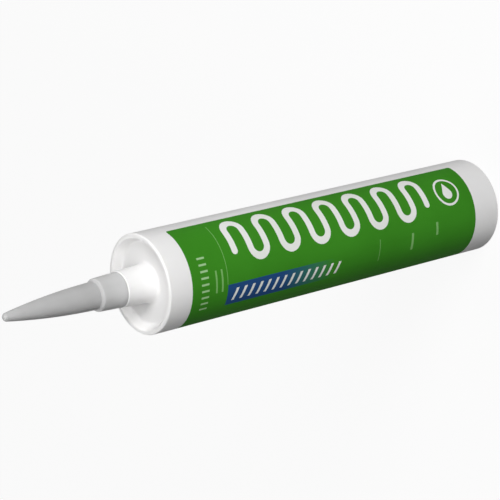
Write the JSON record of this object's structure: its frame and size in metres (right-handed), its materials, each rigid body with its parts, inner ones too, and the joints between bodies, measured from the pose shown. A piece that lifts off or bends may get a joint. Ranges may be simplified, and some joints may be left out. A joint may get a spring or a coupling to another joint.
{
  "type": "caulk cartridge",
  "caption": "Round sealant cartridge for a caulking gun, with a dished front, a threaded neck, a long tapered screw-on nozzle, a sliding rear piston and a printed film.",
  "frame": {"origin": "centre of the open rear end, on the plane of its rim, where the cartridge stands", "axes": "+Z along the cartridge's axis towards the nozzle, -Y towards the middle of the printed side, +X to the right of it"},
  "size_m": [0.0494, 0.0494, 0.293],
  "materials": {
    "barrel_plastic": "satin white polyethylene",
    "nozzle_plastic": "milky grey polyethylene, slightly see-through",
    "foil": "dull foil",
    "sealant_paste": "uncured white paste",
    "piston_plastic": "satin natural polyethylene",
    "label_green": "printed film, half gloss",
    "label_blue": "printed film, half gloss",
    "label_white": "printed film, half gloss",
    "label_pale_green": "printed film, half gloss"
  },
  "bodies": {
    "barrel": {"barrel": "barrel_plastic", "neck_foil": "foil", "sealant": "sealant_paste", "label_film": "label_green", "label_panel": "label_blue", "label_bead": "label_white", "label_drop": "label_white", "label_dashes": "label_white", "label_strokes": "label_pale_green", "label_small_lines": "label_pale_green", "label_hairlines": "label_pale_green", "label_rows": "label_white"},
    "piston": {"piston": "piston_plastic"},
    "nozzle": {"nozzle": "nozzle_plastic"}
  },
  "joints": [
    {"name": "piston_slide", "type": "slide", "parent": "barrel", "child": "piston", "axis": [0, 0, 1], "range_m": [0, 0.1706], "deforming": ["sealant"]},
    {"name": "nozzle_lift", "type": "slide", "parent": "barrel", "child": "nozzle", "axis": [0, 0, 1], "range_m": [0, 0.03]}
  ]
}
